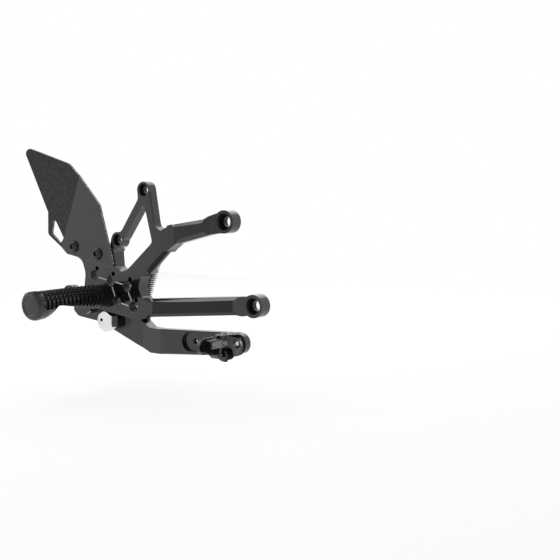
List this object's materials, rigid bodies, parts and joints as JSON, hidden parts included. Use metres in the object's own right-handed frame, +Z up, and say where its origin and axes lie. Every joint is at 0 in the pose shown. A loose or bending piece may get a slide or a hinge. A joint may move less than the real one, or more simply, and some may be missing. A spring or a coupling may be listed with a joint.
{
  "type": "rear set footrest",
  "caption": "Motorbike rear set: black machined bracket with frame arms, toothed footpeg, carbon heel guard and a sprung brake lever with a folding toe peg.",
  "frame": {"origin": "axis of the lower frame bolt bore at the bracket's back face, where it meets the frame", "axes": "+X forward on the bike, -Y outwards along the footpeg, +Z up"},
  "size_m": [0.253, 0.1127, 0.1787],
  "materials": {
    "black_anodised": "satin black anodised",
    "carbon": "woven carbon with a satin coat",
    "black_steel": "black oxide steel",
    "bare_aluminium": "turned, bare",
    "bare_steel": "bare steel",
    "spring_steel": "drawn wire",
    "bronze": "sintered bronze"
  },
  "bodies": {
    "chassis": {"main_bracket": "black_anodised", "heel_guard": "carbon", "guard_screw_rear": "black_steel", "guard_screw_front": "black_steel", "footpeg": "black_anodised", "footpeg_bolt": "black_steel", "footpeg_dowel": "bare_steel", "pivot_bolt": "black_steel", "pivot_washer_inner": "bare_steel", "pivot_washer_outer": "bare_steel", "spring_post_upper": "bare_steel", "return_spring": "spring_steel"},
    "lever": {"brake_lever": "black_anodised", "pivot_bush": "bronze", "stop_cam": "bare_aluminium", "stop_cam_screw": "bare_steel", "spring_post_lower": "bare_steel", "toe_mount": "black_anodised", "toe_mount_screw": "bare_steel", "toe_peg_pin": "bare_steel", "toe_pin_clip": "bare_steel"},
    "toe": {"toe_peg": "black_anodised"}
  },
  "joints": [
    {"name": "brake_lever_pivot", "type": "hinge", "parent": "chassis", "child": "lever", "pos_m": [-0.188, 0, -0.009], "axis": [0, 1, 0], "range_deg": [0, 12], "stiffness_Nm_per_rad": 1.5, "springref_deg": -20.05, "deforming": ["return_spring"]},
    {"name": "toe_peg_fold", "type": "hinge", "parent": "lever", "child": "toe", "pos_m": [-0.0276, -0.0114, -0.031], "axis": [0, 0, -1], "range_deg": [0, 75], "stiffness_Nm_per_rad": 0.02, "springref_deg": -20.05}
  ]
}
